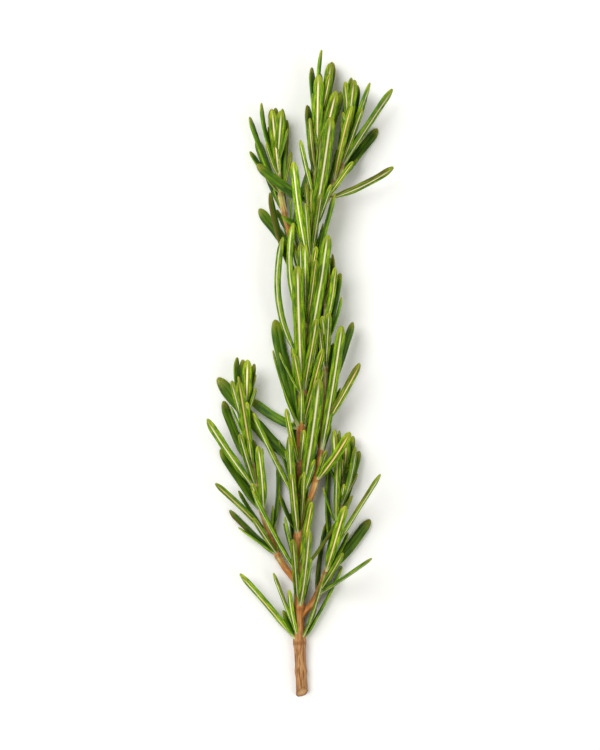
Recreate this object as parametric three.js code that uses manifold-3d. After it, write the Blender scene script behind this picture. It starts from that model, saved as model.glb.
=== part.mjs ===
// A cut rosemary sprig lying on its side, in millimetres.
// X runs across the sprig, Y from the cut end towards the tip, Z up from the surface it lies on.
// The woody base, the leafy stem and each side shoot are one closed solid apiece.

import * as THREE from 'three';
import { mergeVertices } from 'three/addons/utils/BufferGeometryUtils.js';
import Module from 'manifold-3d';

const wasm = await Module();
wasm.setup();

const DEGREE = Math.PI / 180;

// Where the cut end sits, so that the frame's origin is at the middle of the sprig's base
const CUT_END = [0.7, -94, 0];

// Main stem: four control points of its curve, from the cut end to the growing tip
const STEM_PATH = [[0, 0, 1.45], [-3, 48, 2.4], [1, 112, 9.5], [5.5, 172, 7]];
const STEM_RADIUS = 1.55;
const STEM_TIP_RADIUS = 0.6;
const STEM_SIDES = 6;
const NODE_SWELLING = 0.16;
const NODE_HALF_LENGTH = 1.3;
const SOLID_GAP = 0.3;

// Bare woody base
const BASE_SHARE = 0.1;
const BASE_SIDES = 12;
const BASE_STATIONS = 14;
const BASE_RIDGES = 4;
const BASE_RIDGE_DEPTH = 0.06;
const BASE_HEEL = 0.14;
const BASE_HEEL_LENGTH = 2.2;
const SCAR_SHARE = 0.052;
const CUT_NORMAL = [0.35, -1, 0.9];
const CUT_SETBACK = 1.4;
const BLOCK_SIZE = 40;

// Leaves: long narrow blades with a blunt tip and a narrow foot sunk in the stem
const LEAF_SIDES = 4;
const LARGE_LEAF_ROWS = [0, 0.18, 0.55];
const SMALL_LEAF_ROWS = [0, 0.45];
const SMALL_LEAF_LENGTH = 18;
const LEAF_FOOT_SHARE = 0.42;
const LEAF_FOOT_LENGTH = 0.32;
const LEAF_TIP_WIDTHS = 1.25;
const LEAF_TIP_MOST = 0.45;
const LEAF_LAST_ROW = 0.35;
const LEAF_FOOT_SINK = 0.45;
const LEAF_TWIST_LENGTH = 0.35;
const LEAF_THICKNESS_SHARE = 0.36;
const LEAF_LEAST_THICKNESS = 0.75;
const FLOOR_SOFTNESS = 0.6;

// How the leaves are set: opposite pairs, each pair a quarter turn from the one below
const QUARTER_TURN = 90;
const HALF_TURN = 180;
const SPIRAL = 3;
const CROWDING = 1.25;
const SPREAD_TIP = 9;
const SPREAD_EXTRA = 29;
const SPREAD_POWER = 1.7;
const LEAST_SPREAD = 3;
const PRESSED_FLAT = 0.3;
const LENGTH_AT_BASE = 0.78;
const LENGTH_AT_TIP = 0.5;
const LENGTH_PEAK = 0.4;

// How far the drawn values of a pair of leaves stray from the rule
const STRAY_AZIMUTH = 11;
const STRAY_SPREAD = 5;
const STRAY_LENGTH = 0.1;
const STRAY_WIDTH = 0.1;
const STRAY_ROLL = 34;
const MEAN_BOW = 5;
const STRAY_BOW = 9;

// The closed bud at a tip: the length and spread of its pairs of leaves
const BUD_PAIRS = [[0.36, 9], [0.25, 6]];
const BUD_SHARE = 0.985;
const BUD_WIDTH = 0.6;
const BUD_BOW = 8;
const BUD_ROLL = 10;

// Tufts of small leaves in the angle above each large leaf: lowest value and range of each draw
const TUFT_REACH = 0.86;
const TUFT_RISE = 0.004;
const TUFT_AZIMUTH = [22, 30];
const TUFT_SPREAD = [9, 22];
const TUFT_LENGTH = [0.32, 0.4];
const TUFT_WIDTH = [0.52, 0.22];
const TUFT_BOW = 8;
const TUFT_ROLL = 30;

// Room left round a leaf when it is set among the others
const CLEAR_SAMPLES = 10;
const CLEAR_FOOT = 0.3;
const CLEAR_OWN_SHARE = 0.62;
const CLEAR_OTHER_GAP = 0.4;
const NUDGES = [
  [0, 0, 1], [9, 0, 1], [-9, 0, 1], [0, 5, 1], [0, -5, 1], [18, 0, 1], [-18, 0, 1], [12, 7, 1],
  [-12, 7, 1], [27, 0, 1], [-27, 0, 1], [20, -6, 1], [-20, -6, 1], [0, 12, 0.85], [30, 10, 0.85],
  [-30, 10, 0.85], [15, 0, 0.7], [-15, 0, 0.7], [40, 0, 0.6], [-40, 0, 0.6],
];

const MAIN_STEM = {
  name: 'leafy_stem', first: 0.108, last: 0.985, whorls: 18, turn: -18,
  leafLength: 36, leafWidth: 3.3, tufts: 2, tuftExtra: 2.99,
};

// Leaves that the photograph shows plainly, in place of the drawn values of those pairs
const SEEN_ON_STEM = [
  { whorl: 3, half: 1, azimuth: 118, spread: 11, bow: 4, length: 31, width: 3.2, roll: -20 },
  { whorl: 4, half: 0, azimuth: 50, spread: 11, bow: 4, length: 37.5, width: 3.7, roll: -38 },
  { whorl: 5, half: 0, azimuth: 305, spread: 12, bow: 4, length: 30, width: 3.1, roll: 0 },
  { whorl: 5, half: 1, azimuth: 190, spread: 46, bow: 6, length: 36, width: 3.9, roll: -70 },
  { whorl: 6, half: 0, azimuth: 215, spread: 18, bow: 3, length: 34, width: 3.8, roll: -45 },
  { whorl: 6, half: 1, azimuth: 335, spread: 13, bow: 4, length: 28, width: 2.8, roll: -20 },
  { whorl: 7, half: 1, azimuth: 112, spread: 12, bow: 3, length: 39, width: 3.6, roll: 22 },
  { whorl: 8, half: 0, azimuth: 170, spread: 12, bow: 27, length: 37, width: 3.1, roll: 22 },
  { whorl: 8, half: 1, azimuth: 50, spread: 10.5, bow: 4, length: 38, width: 3.2, roll: -40 },
  { whorl: 9, half: 0, azimuth: 135, spread: 9, bow: 3, length: 25, width: 2.4, roll: 30 },
  { whorl: 9, half: 1, azimuth: 160, spread: 10, bow: 20, length: 31, width: 2.7, roll: 20 },
  { whorl: 11, half: 1, azimuth: 150, spread: 14, bow: 5, length: 30, width: 2.9, roll: 30 },
  { whorl: 12, half: 0, azimuth: 60, spread: 10, bow: 3, length: 34, width: 3.5, roll: -28 },
  { whorl: 12, half: 1, azimuth: 190, spread: 62, bow: 5, length: 10, width: 2, roll: -50 },
  { whorl: 13, half: 0, azimuth: 180, spread: 58, bow: 8, length: 20, width: 3.1, roll: -75 },
];
const SEEN_ON_SIDE = [
  { whorl: 1, half: 0, azimuth: 90, spread: 5, bow: 4, length: 38, width: 3.2, roll: 5 },
  { whorl: 4, half: 0, azimuth: 75, spread: 9, bow: 3, length: 17, width: 2.2, roll: 0 },
];

// Leaves seen in the tufts of the main stem
const SEEN_IN_TUFTS = [
  { whorl: 4, azimuth: 5, spread: 21, bow: 3, length: 24, width: 2.5, roll: -70 },
  { whorl: 6, azimuth: 186, spread: 62, bow: 8, length: 17.5, width: 2.8, roll: -75 },
  { whorl: 6, azimuth: 100, spread: 9, bow: 3, length: 12, width: 1.9, roll: 0 },
  { whorl: 7, azimuth: 176, spread: 30, bow: 4, length: 14, width: 1.7, roll: 10 },
  { whorl: 7, azimuth: 10, spread: 15, bow: 3, length: 17.5, width: 1.9, roll: -40 },
  { whorl: 8, azimuth: 165, spread: 36, bow: 4, length: 8.5, width: 1.6, roll: 0 },
];

// Side shoots: the pair of leaves they grow beside, the way they leave the stem and lean,
// how far they reach, how high the tip lies and how many pairs of leaves they bear
const SIDE_SHOOTS = [
  { above: 1, azimuth: -6, leave: 42, lean: 15, reach: 40, height: 4.5, whorls: 7, seen: [] },
  { above: 2, azimuth: 184, leave: 40, lean: 14, reach: 52, height: 5, whorls: 9, seen: [] },
  { above: 4, azimuth: 12, leave: 24, lean: 3.5, reach: 62, height: 8.5, whorls: 9, seen: SEEN_ON_SIDE },
  { above: 11, azimuth: 205, leave: 42, lean: 18, reach: 34, height: 4.5, whorls: 7, seen: [] },
  { above: 13, azimuth: -16, leave: 42, lean: 17, reach: 24, height: 6.5, whorls: 6, seen: [] },
];
const SIDE_RADIUS = 0.85;
const SIDE_TIP_RADIUS = 0.5;
const SIDE_HANDLE = 0.25;
const SIDE_FIRST = 0.14;
const SIDE_LAST = 0.97;
const SIDE_LEAF_LENGTH = 26;
const SIDE_LEAF_WIDTH = 2.9;
const SIDE_TUFTS = 1;
const SIDE_TUFT_EXTRA = 1.5;

// Random draws that come out the same each time
const SEED = 4711;
const DRAW_FACTOR = 1664525;
const DRAW_STEP = 1013904223;
const DRAW_RANGE = 4294967296;

function makeDraw(seed) {
  let state = seed;
  return () => {
    state = (Math.imul(state, DRAW_FACTOR) + DRAW_STEP) >>> 0;
    return state / DRAW_RANGE;
  };
}

const draw = makeDraw(SEED);

function drawEither(size) {
  return (2 * draw() - 1) * size;
}

function drawFrom([lowest, range]) {
  return lowest + range * draw();
}

function mix(from, to, share) {
  return from + (to - from) * share;
}

function smoothStep(from, to, value) {
  const share = Math.min(Math.max((value - from) / (to - from), 0), 1);
  return share * share * (3 - 2 * share);
}

// Stems

function stemCurve(points) {
  const vectors = points.map((point) => new THREE.Vector3(...point));
  return new THREE.CubicBezierCurve3(...vectors);
}

function stemFrame(shoot, share) {
  const centre = shoot.curve.getPoint(share);
  const along = shoot.curve.getTangent(share);
  const side = new THREE.Vector3().crossVectors(along, new THREE.Vector3(0, 0, 1)).normalize();
  const up = new THREE.Vector3().crossVectors(side, along);
  return { centre, along, side, up };
}

function outward(frame, azimuth) {
  const angle = azimuth * DEGREE;
  return frame.side.clone().multiplyScalar(Math.cos(angle))
    .addScaledVector(frame.up, Math.sin(angle));
}

function stemRadius(shoot, share) {
  return mix(shoot.radius, shoot.tipRadius, share);
}

function whorlShare(shoot, whorl) {
  const step = whorl / (shoot.whorls - 1);
  return mix(shoot.first, shoot.last, 1 - (1 - step) ** CROWDING);
}

function makeMainShoot() {
  return {
    ...MAIN_STEM,
    seen: SEEN_ON_STEM,
    inTufts: SEEN_IN_TUFTS,
    curve: stemCurve(STEM_PATH),
    radius: STEM_RADIUS,
    tipRadius: STEM_TIP_RADIUS,
    start: BASE_SHARE,
  };
}

function makeSideShoot(parent, plan, index) {
  const share = whorlShare(parent, plan.above);
  const frame = stemFrame(parent, share);
  const out = outward(frame, plan.azimuth);
  const stand = stemRadius(parent, share) * (1 + NODE_SWELLING) + SOLID_GAP + SIDE_RADIUS;
  const foot = frame.centre.clone().addScaledVector(out, stand);
  const leave = out.clone().multiplyScalar(Math.sin(plan.leave * DEGREE))
    .addScaledVector(frame.along, Math.cos(plan.leave * DEGREE));
  const lean = out.clone().multiplyScalar(Math.sin(plan.lean * DEGREE))
    .addScaledVector(frame.along, Math.cos(plan.lean * DEGREE));
  const tip = foot.clone().addScaledVector(lean, plan.reach);
  tip.z = plan.height;
  const handle = plan.reach * SIDE_HANDLE;
  const rise = foot.clone().addScaledVector(leave, handle);
  const settle = tip.clone().addScaledVector(frame.along, -handle);
  return {
    ...plan,
    name: `side_shoot_${index + 1}`,
    curve: new THREE.CubicBezierCurve3(foot, rise, settle, tip),
    radius: SIDE_RADIUS,
    tipRadius: SIDE_TIP_RADIUS,
    start: 0,
    first: SIDE_FIRST,
    last: SIDE_LAST,
    turn: plan.azimuth + QUARTER_TURN / 2,
    leafLength: SIDE_LEAF_LENGTH,
    leafWidth: SIDE_LEAF_WIDTH,
    tufts: SIDE_TUFTS,
    tuftExtra: SIDE_TUFT_EXTRA,
    inTufts: [],
  };
}

// Leaf plans: what each leaf measures and where it grows, before it is set among the others

function lengthShare(step) {
  if (step < LENGTH_PEAK) {
    return mix(LENGTH_AT_BASE, 1, step / LENGTH_PEAK);
  }
  return mix(1, LENGTH_AT_TIP, (step - LENGTH_PEAK) / (1 - LENGTH_PEAK));
}

function pairAzimuth(shoot, whorl, half) {
  return shoot.turn + (QUARTER_TURN + SPIRAL) * whorl + HALF_TURN * half;
}

// Leaves that point up or down lie closer to the stem than those at its sides
function pressed(spread, azimuth) {
  return spread * (1 - PRESSED_FLAT * Math.abs(Math.sin(azimuth * DEGREE)));
}

function planPairs(shoot) {
  const plans = [];
  for (let whorl = 0; whorl < shoot.whorls; whorl += 1) {
    const step = whorl / (shoot.whorls - 1);
    for (let half = 0; half < 2; half += 1) {
      const azimuth = pairAzimuth(shoot, whorl, half) + drawEither(STRAY_AZIMUTH);
      const spread = SPREAD_TIP + SPREAD_EXTRA * (1 - step) ** SPREAD_POWER;
      const seen = shoot.seen.find((leaf) => leaf.whorl === whorl && leaf.half === half);
      plans.push({
        shoot,
        share: whorlShare(shoot, whorl),
        azimuth,
        spread: pressed(spread, azimuth) + drawEither(STRAY_SPREAD),
        bow: MEAN_BOW + drawEither(STRAY_BOW),
        length: shoot.leafLength * lengthShare(step) * (1 + drawEither(STRAY_LENGTH)),
        width: shoot.leafWidth * (1 + drawEither(STRAY_WIDTH)),
        roll: drawEither(STRAY_ROLL),
        ...seen,
        seen: Boolean(seen),
      });
    }
  }
  return plans;
}

function planSeenTufts(shoot) {
  return shoot.inTufts.map((leaf) => ({
    ...leaf,
    shoot,
    share: whorlShare(shoot, leaf.whorl) + TUFT_RISE,
    seen: true,
  }));
}

function planBud(shoot) {
  const plans = [];
  BUD_PAIRS.forEach(([lengthPart, spread], pair) => {
    for (let half = 0; half < 2; half += 1) {
      plans.push({
        shoot,
        share: BUD_SHARE,
        azimuth: pairAzimuth(shoot, shoot.whorls + pair, half),
        spread,
        bow: BUD_BOW,
        length: shoot.leafLength * lengthPart * (1 + drawEither(STRAY_LENGTH)),
        width: shoot.leafWidth * BUD_WIDTH,
        roll: drawEither(BUD_ROLL),
      });
    }
  });
  return plans;
}

function planTufts(shoot) {
  const plans = [];
  for (let whorl = 0; whorl < shoot.whorls * TUFT_REACH; whorl += 1) {
    const step = whorl / (shoot.whorls - 1);
    for (let half = 0; half < 2; half += 1) {
      const count = shoot.tufts + Math.floor(draw() * shoot.tuftExtra);
      for (let leaf = 0; leaf < count; leaf += 1) {
        const hand = leaf % 2 === 0 ? 1 : -1;
        const azimuth = pairAzimuth(shoot, whorl, half) + hand * drawFrom(TUFT_AZIMUTH);
        plans.push({
          shoot,
          share: whorlShare(shoot, whorl) + TUFT_RISE * (leaf + 1),
          azimuth,
          spread: pressed(drawFrom(TUFT_SPREAD), azimuth),
          bow: drawFrom([0, TUFT_BOW]),
          length: shoot.leafLength * lengthShare(step) * drawFrom(TUFT_LENGTH),
          width: shoot.leafWidth * drawFrom(TUFT_WIDTH),
          roll: drawEither(TUFT_ROLL),
        });
      }
    }
  }
  return plans;
}

// Leaves in place

function placeLeaf(plan, nudge) {
  const [turned, opened, shortened] = nudge;
  const frame = stemFrame(plan.shoot, plan.share);
  const out = outward(frame, plan.azimuth + turned);
  const spread = Math.max(plan.spread + opened, LEAST_SPREAD) * DEGREE;
  const bowed = spread + plan.bow * DEGREE;
  const length = plan.length * shortened;
  const foot = frame.centre.clone()
    .addScaledVector(out, stemRadius(plan.shoot, plan.share) * LEAF_FOOT_SINK);
  const bend = foot.clone().addScaledVector(out, Math.sin(bowed) * length / 2)
    .addScaledVector(frame.along, Math.cos(bowed) * length / 2);
  const tip = foot.clone().addScaledVector(out, Math.sin(spread) * length)
    .addScaledVector(frame.along, Math.cos(spread) * length);
  return {
    shoot: plan.shoot,
    length,
    width: plan.width,
    thickness: Math.max(plan.width * LEAF_THICKNESS_SHARE, LEAF_LEAST_THICKNESS),
    roll: plan.roll * DEGREE,
    curve: new THREE.QuadraticBezierCurve3(foot, bend, tip),
    across: new THREE.Vector3().crossVectors(frame.along, out),
  };
}

function tipShare(leaf) {
  return Math.min(LEAF_TIP_WIDTHS * leaf.width / leaf.length, LEAF_TIP_MOST);
}

function bladeShare(leaf, share) {
  const foot = mix(LEAF_FOOT_SHARE, 1, smoothStep(0, LEAF_FOOT_LENGTH, share));
  const tip = tipShare(leaf);
  const into = Math.max((share - 1 + tip) / tip, 0);
  return foot * Math.sqrt(Math.max(1 - into * into, 0));
}

// A leaf pressed against the surface bends along it instead of passing through
function liftOffFloor(height, least) {
  return least + FLOOR_SOFTNESS * Math.log(1 + Math.exp((height - least) / FLOOR_SOFTNESS));
}

function bladeFrame(leaf, share) {
  const centre = leaf.curve.getPoint(share);
  const along = leaf.curve.getTangent(share);
  const across = leaf.across.clone().addScaledVector(along, -leaf.across.dot(along)).normalize();
  across.applyAxisAngle(along, leaf.roll * smoothStep(0, LEAF_TWIST_LENGTH, share));
  const under = new THREE.Vector3().crossVectors(across, along);
  const halfWidth = leaf.width / 2 * bladeShare(leaf, share);
  const halfThickness = leaf.thickness / 2 * Math.sqrt(bladeShare(leaf, share));
  const least = Math.abs(across.z) * halfWidth + Math.abs(under.z) * halfThickness;
  centre.z = liftOffFloor(centre.z, least);
  return { centre, across, under, halfWidth, halfThickness };
}

// Setting the leaves one by one, those seen first, each turned, opened or shortened until it
// has room

function leafSamples(leaf) {
  const samples = [];
  for (let step = 0; step < CLEAR_SAMPLES; step += 1) {
    const share = (step + 1) / CLEAR_SAMPLES;
    const { centre, halfWidth } = bladeFrame(leaf, share);
    const radius = Math.max(halfWidth, leaf.thickness / 2);
    samples.push({ shoot: leaf.shoot, centre, radius, foot: share < CLEAR_FOOT });
  }
  return samples;
}

function stemSamples(shoot) {
  const samples = [];
  const count = Math.ceil(shoot.curve.getLength());
  for (let step = 0; step <= count; step += 1) {
    const share = mix(shoot.start, 1, step / count);
    const radius = stemRadius(shoot, share) * (1 + NODE_SWELLING);
    samples.push({ shoot, centre: shoot.curve.getPoint(share), radius, foot: true });
  }
  return samples;
}

// How deep a leaf would run into its neighbours: on its own shoot, and on the others
function crowding(samples, placed) {
  let own = 0;
  let other = 0;
  for (const sample of samples) {
    for (const neighbour of placed) {
      const reach = sample.radius + neighbour.radius;
      const distance = sample.centre.distanceTo(neighbour.centre);
      if (sample.shoot !== neighbour.shoot) {
        other = Math.max(other, reach + CLEAR_OTHER_GAP - distance);
      } else if (!sample.foot && !neighbour.foot) {
        own = Math.max(own, reach * CLEAR_OWN_SHARE - distance);
      }
    }
  }
  return { own, other };
}

function settleLeaf(plan, placed) {
  let best = null;
  let least = Infinity;
  for (const nudge of NUDGES) {
    const leaf = placeLeaf(plan, nudge);
    const samples = leafSamples(leaf);
    const { own, other } = crowding(samples, placed);
    if (other === 0 && own < least) {
      best = { leaf, samples };
      least = own;
    }
    if (least === 0) {
      break;
    }
  }
  return best;
}

function settleLeaves(shoots) {
  const placed = shoots.flatMap(stemSamples);
  const plans = [
    ...shoots.flatMap(planPairs),
    ...shoots.flatMap(planBud),
    ...shoots.flatMap(planTufts),
    ...shoots.flatMap(planSeenTufts),
  ];
  const inOrder = [...plans.filter((plan) => plan.seen), ...plans.filter((plan) => !plan.seen)];
  const leaves = [];
  for (const plan of inOrder) {
    const settled = settleLeaf(plan, placed);
    if (settled) {
      leaves.push(settled.leaf);
      placed.push(...settled.samples);
    }
  }
  return leaves;
}

// Solids

function toSolid(geometry) {
  geometry.deleteAttribute('normal');
  geometry.deleteAttribute('uv');
  const merged = mergeVertices(geometry);
  return new wasm.Manifold(new wasm.Mesh({
    numProp: 3,
    vertProperties: new Float32Array(merged.attributes.position.array),
    triVerts: new Uint32Array(merged.index.array),
  }));
}

// The outer body of a solid, without loose scraps or sealed pockets
function outerBody(solid) {
  const bodies = solid.decompose();
  return bodies.reduce((largest, body) => (body.volume() > largest.volume() ? body : largest));
}

function toGeometry(solid) {
  const mesh = outerBody(solid).getMesh();
  const geometry = new THREE.BufferGeometry();
  geometry.setAttribute('position', new THREE.BufferAttribute(mesh.vertProperties, 3));
  geometry.setIndex(new THREE.BufferAttribute(mesh.triVerts, 1));
  geometry.computeVertexNormals();
  return geometry;
}

// A unit ball drawn out along a leaf: its poles become the foot and the tip
function leafSolid(leaf) {
  const tip = tipShare(leaf);
  const rows = leaf.length > SMALL_LEAF_LENGTH ? LARGE_LEAF_ROWS : SMALL_LEAF_ROWS;
  const shares = [...rows, 1 - tip * LEAF_LAST_ROW, 1];
  const last = shares.length - 1;
  const frames = shares.map((share) => bladeFrame(leaf, share));
  const geometry = new THREE.SphereGeometry(1, LEAF_SIDES, last);
  const position = geometry.attributes.position;
  for (let index = 0; index < position.count; index += 1) {
    const row = Math.round(Math.acos(position.getY(index)) / Math.PI * last);
    const ring = Math.sin(row / last * Math.PI);
    const wide = row % last === 0 ? 0 : position.getX(index) / ring;
    const deep = row % last === 0 ? 0 : position.getZ(index) / ring;
    const { centre, across, under, halfWidth, halfThickness } = frames[row];
    const point = centre.clone().addScaledVector(across, wide * halfWidth)
      .addScaledVector(under, -deep * halfThickness);
    position.setXYZ(index, point.x, point.y, point.z);
  }
  return toSolid(geometry);
}

// A unit cylinder drawn out along a stem, with the radius given by a rule
function tubeSolid(shoot, from, to, sides, stations, radiusAt) {
  const geometry = new THREE.CylinderGeometry(1, 1, 1, sides, stations);
  const position = geometry.attributes.position;
  for (let index = 0; index < position.count; index += 1) {
    const share = mix(from, to, 0.5 - position.getY(index));
    const wide = position.getX(index);
    const deep = position.getZ(index);
    const frame = stemFrame(shoot, share);
    const radius = radiusAt(share, Math.atan2(deep, wide));
    const point = frame.centre.clone().addScaledVector(frame.side, wide * radius)
      .addScaledVector(frame.up, -deep * radius);
    position.setXYZ(index, point.x, point.y, point.z);
  }
  return toSolid(geometry);
}

function nodeBulge(shoot, share, nodeShare) {
  const away = (share - nodeShare) * shoot.curve.getLength() / NODE_HALF_LENGTH;
  return Math.exp(-away * away);
}

function coreSolid(shoot) {
  const stations = 2 * shoot.whorls;
  const from = shoot.start + (shoot.start > 0 ? SOLID_GAP / shoot.curve.getLength() : 0);
  const nodes = Array.from({ length: shoot.whorls }, (_, whorl) => whorlShare(shoot, whorl));
  const radiusAt = (share) => {
    const bulge = Math.max(...nodes.map((node) => nodeBulge(shoot, share, node)));
    return stemRadius(shoot, share) * (1 + NODE_SWELLING * bulge);
  };
  return tubeSolid(shoot, from, 1, STEM_SIDES, stations, radiusAt);
}

function blockBeyond(point, normal) {
  const direction = new THREE.Vector3(...normal).normalize();
  const block = new THREE.BoxGeometry(BLOCK_SIZE, BLOCK_SIZE, BLOCK_SIZE);
  block.translate(0, 0, BLOCK_SIZE / 2);
  block.applyQuaternion(new THREE.Quaternion()
    .setFromUnitVectors(new THREE.Vector3(0, 0, 1), direction));
  block.translate(...point);
  return toSolid(block);
}

// The bare base: ridged bark, a swollen heel, an old leaf scar and a slanted cut,
// with a flat worn on the underside where it rests
function woodyBaseSolid(shoot) {
  const length = shoot.curve.getLength();
  const radiusAt = (share, angle) => {
    const heel = BASE_HEEL * Math.exp(-share * length / BASE_HEEL_LENGTH);
    const scar = NODE_SWELLING * nodeBulge(shoot, share, SCAR_SHARE);
    const ridge = BASE_RIDGE_DEPTH * Math.cos(BASE_RIDGES * angle);
    return stemRadius(shoot, share) * (1 + heel + scar + ridge);
  };
  const bark = tubeSolid(shoot, 0, BASE_SHARE, BASE_SIDES, BASE_STATIONS, radiusAt);
  return bark.subtract(blockBeyond([0, CUT_SETBACK, STEM_PATH[0][2]], CUT_NORMAL))
    .subtract(blockBeyond([0, 0, 0], [0, 0, -1]));
}

function leafyShootSolid(shoot, leaves) {
  const blades = leaves.filter((leaf) => leaf.shoot === shoot).map(leafSolid);
  return wasm.Manifold.union([coreSolid(shoot), ...blades]);
}

// Materials

function barkMaterial() {
  return new THREE.MeshStandardMaterial({ color: 0xb98a5e, roughness: 0.8, metalness: 0 });
}

function leafMaterial() {
  return new THREE.MeshStandardMaterial({ color: 0x6f9420, roughness: 0.5, metalness: 0 });
}

function addPiece(group, name, solid, material) {
  const mesh = new THREE.Mesh(toGeometry(solid), material);
  mesh.name = name;
  group.add(mesh);
}

const mainShoot = makeMainShoot();
const sideShoots = SIDE_SHOOTS.map((plan, index) => makeSideShoot(mainShoot, plan, index));
const shoots = [mainShoot, ...sideShoots];
const leaves = settleLeaves(shoots);

const group = new THREE.Group();
group.position.set(...CUT_END);
addPiece(group, 'woody_base', woodyBaseSolid(mainShoot), barkMaterial());
for (const shoot of shoots) {
  addPiece(group, shoot.name, leafyShootSolid(shoot, leaves), leafMaterial());
}

export default group;
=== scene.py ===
"""Dresses a cut rosemary sprig: ridged bark, rolled leaves, felt, floor and soft light.

The sprig's plan is worked out in millimetres, from the cut end, by the same rule that set the
solid leaves, so each fine leaf lies where its solid one does. Meshes are then made in metres.
"""

import math
from functools import cache

import bmesh
import bpy
import numpy as np
from bpy.props import FloatProperty, FloatVectorProperty, PointerProperty
from bpy.types import Operator, Panel, PropertyGroup
from mathutils import Color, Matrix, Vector, noise


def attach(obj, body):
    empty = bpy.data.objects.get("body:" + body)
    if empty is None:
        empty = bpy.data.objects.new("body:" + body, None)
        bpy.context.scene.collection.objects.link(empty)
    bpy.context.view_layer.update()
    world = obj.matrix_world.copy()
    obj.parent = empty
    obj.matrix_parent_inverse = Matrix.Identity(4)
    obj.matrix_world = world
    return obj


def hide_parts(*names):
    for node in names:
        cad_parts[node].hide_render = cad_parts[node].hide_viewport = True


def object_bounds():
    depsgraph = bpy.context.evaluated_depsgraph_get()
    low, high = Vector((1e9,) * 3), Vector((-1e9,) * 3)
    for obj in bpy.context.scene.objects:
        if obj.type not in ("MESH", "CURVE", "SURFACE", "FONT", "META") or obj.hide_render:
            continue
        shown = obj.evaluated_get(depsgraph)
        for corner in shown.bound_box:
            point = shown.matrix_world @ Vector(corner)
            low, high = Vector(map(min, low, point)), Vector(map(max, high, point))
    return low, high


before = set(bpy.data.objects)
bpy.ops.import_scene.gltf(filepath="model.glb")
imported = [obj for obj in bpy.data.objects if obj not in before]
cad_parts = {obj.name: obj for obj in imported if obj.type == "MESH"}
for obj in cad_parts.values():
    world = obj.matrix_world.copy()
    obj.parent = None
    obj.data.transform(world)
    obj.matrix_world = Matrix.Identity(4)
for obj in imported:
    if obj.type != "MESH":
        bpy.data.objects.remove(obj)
CAD_BOX = [list(corner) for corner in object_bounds()]
BOX_LOW, BOX_HIGH = (np.array(corner) for corner in CAD_BOX)

bl_info = {
    "name": "Rosemary Sprig",
    "version": (1, 0, 0),
    "blender": (4, 5, 0),
    "location": "View3D > Sidebar > Sprig",
    "description": "Grows the bark, leaves and felt of a cut rosemary sprig on a pale floor",
    "category": "Object",
}

MM = 0.001
DEGREE = math.pi / 180
FULL_TURN = 2 * math.pi
UP = np.array([0.0, 0.0, 1.0])
BODY = "root"

# Where the cut end sits in the frame
CUT_END = np.array([0.7, -94.0, 0.0])

# Main stem: four control points of its curve, from the cut end to the growing tip
STEM_PATH = [[0, 0, 1.45], [-3, 48, 2.4], [1, 112, 9.5], [5.5, 172, 7]]
STEM_RADIUS = 1.55
STEM_TIP_RADIUS = 0.6
NODE_SWELLING = 0.16
NODE_HALF_LENGTH = 1.3
SOLID_GAP = 0.3
BASE_SHARE = 0.1
BASE_RIDGES = 4
BASE_RIDGE_DEPTH = 0.06
BASE_HEEL = 0.14
BASE_HEEL_LENGTH = 2.2
SCAR_SHARE = 0.052
CUT_NORMAL = [0.35, -1, 0.9]
CUT_SETBACK = 1.4

# Leaves: long narrow blades with a blunt tip and a narrow foot sunk in the stem
LEAF_FOOT_SHARE = 0.42
LEAF_FOOT_LENGTH = 0.32
LEAF_TIP_WIDTHS = 1.25
LEAF_TIP_MOST = 0.45
LEAF_FOOT_SINK = 0.45
LEAF_TWIST_LENGTH = 0.35
LEAF_THICKNESS_SHARE = 0.36
LEAF_LEAST_THICKNESS = 0.75
FLOOR_SOFTNESS = 0.6

# How the leaves are set: opposite pairs, each pair a quarter turn from the one below
QUARTER_TURN = 90
HALF_TURN = 180
SPIRAL = 3
CROWDING = 1.25
SPREAD_TIP = 9
SPREAD_EXTRA = 29
SPREAD_POWER = 1.7
LEAST_SPREAD = 3
PRESSED_FLAT = 0.3
LENGTH_AT_BASE = 0.78
LENGTH_AT_TIP = 0.5
LENGTH_PEAK = 0.4

# How far the drawn values of a pair of leaves stray from the rule
STRAY_AZIMUTH = 11
STRAY_SPREAD = 5
STRAY_LENGTH = 0.1
STRAY_WIDTH = 0.1
STRAY_ROLL = 34
MEAN_BOW = 5
STRAY_BOW = 9

# The closed bud at a tip: the length and spread of its pairs of leaves
BUD_PAIRS = [[0.36, 9], [0.25, 6]]
BUD_SHARE = 0.985
BUD_WIDTH = 0.6
BUD_BOW = 8
BUD_ROLL = 10

# Tufts of small leaves in the angle above each large leaf: lowest value and range of each draw
TUFT_REACH = 0.86
TUFT_RISE = 0.004
TUFT_AZIMUTH = [22, 30]
TUFT_SPREAD = [9, 22]
TUFT_LENGTH = [0.32, 0.4]
TUFT_WIDTH = [0.52, 0.22]
TUFT_BOW = 8
TUFT_ROLL = 30

# Room left round a leaf when it is set among the others, and what is tried in turn to find it:
# degrees turned round the stem, degrees opened and the part of its length that is kept
CLEAR_SAMPLES = 10
CLEAR_FOOT = 0.3
CLEAR_OWN_SHARE = 0.62
CLEAR_OTHER_GAP = 0.4
NUDGES = [
    [0, 0, 1], [9, 0, 1], [-9, 0, 1], [0, 5, 1], [0, -5, 1], [18, 0, 1], [-18, 0, 1], [12, 7, 1],
    [-12, 7, 1], [27, 0, 1], [-27, 0, 1], [20, -6, 1], [-20, -6, 1], [0, 12, 0.85], [30, 10, 0.85],
    [-30, 10, 0.85], [15, 0, 0.7], [-15, 0, 0.7], [40, 0, 0.6], [-40, 0, 0.6],
]

MAIN_STEM = {
    "name": "leafy_stem", "first": 0.108, "last": 0.985, "whorls": 18, "turn": -18,
    "leaf_length": 36, "leaf_width": 3.3, "tufts": 2, "tuft_extra": 2.99,
}

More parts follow.
